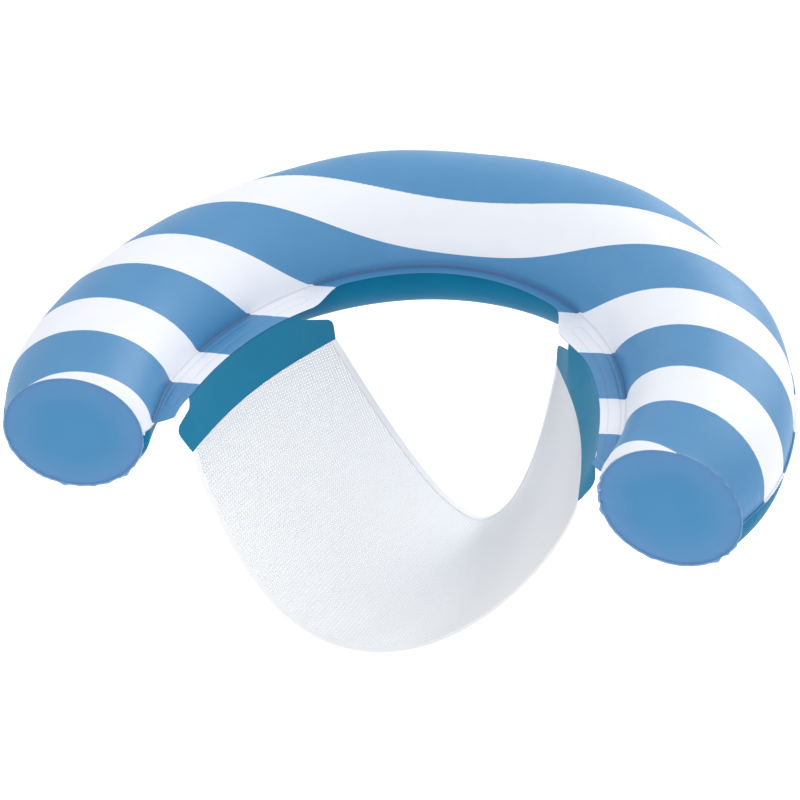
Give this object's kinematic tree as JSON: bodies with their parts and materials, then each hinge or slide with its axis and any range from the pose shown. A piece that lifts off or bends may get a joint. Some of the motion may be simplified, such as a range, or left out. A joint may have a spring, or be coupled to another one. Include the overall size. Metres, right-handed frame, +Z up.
{
  "type": "inflatable pool chair",
  "caption": "U-shaped inflatable float with an open front and a hanging mesh seat welded between its arms.",
  "frame": {"origin": "middle of the U in the plane of the welded seam, taken as the waterline", "axes": "+X to the chair's right as seen from its open front, +Y towards the backrest, +Z up"},
  "size_m": [1.0838, 0.7706, 0.5648],
  "materials": {
    "blue_film": "striped in white, satin",
    "teal_film": "satin",
    "white_mesh": "open woven mesh",
    "white_tape": "woven binding",
    "clear_moulding": "soft, slightly frosted"
  },
  "bodies": {
    "chair": {"tube_top_panel": "blue_film", "tube_bottom_panel": "teal_film", "left_end_disc": "blue_film", "right_end_disc": "blue_film", "left_seat_header": "teal_film", "right_seat_header": "teal_film", "mesh_seat": "white_mesh", "front_hem_binding": "white_tape", "rear_hem_binding": "white_tape", "valve_body": "clear_moulding"},
    "plug": {"valve_plug": "clear_moulding"},
    "flap": {"valve_check_flap": "clear_moulding"}
  },
  "joints": [
    {"name": "valve_plug_hinge", "type": "hinge", "parent": "chair", "child": "plug", "pos_m": [0, 0.63585, -0.00495], "axis": [1, 0, 0], "range_deg": [0, 150]},
    {"name": "check_flap_hinge", "type": "hinge", "parent": "chair", "child": "flap", "pos_m": [0, 0.62134, -0.01088], "axis": [-1, 0, 0], "range_deg": [0, 55]}
  ]
}
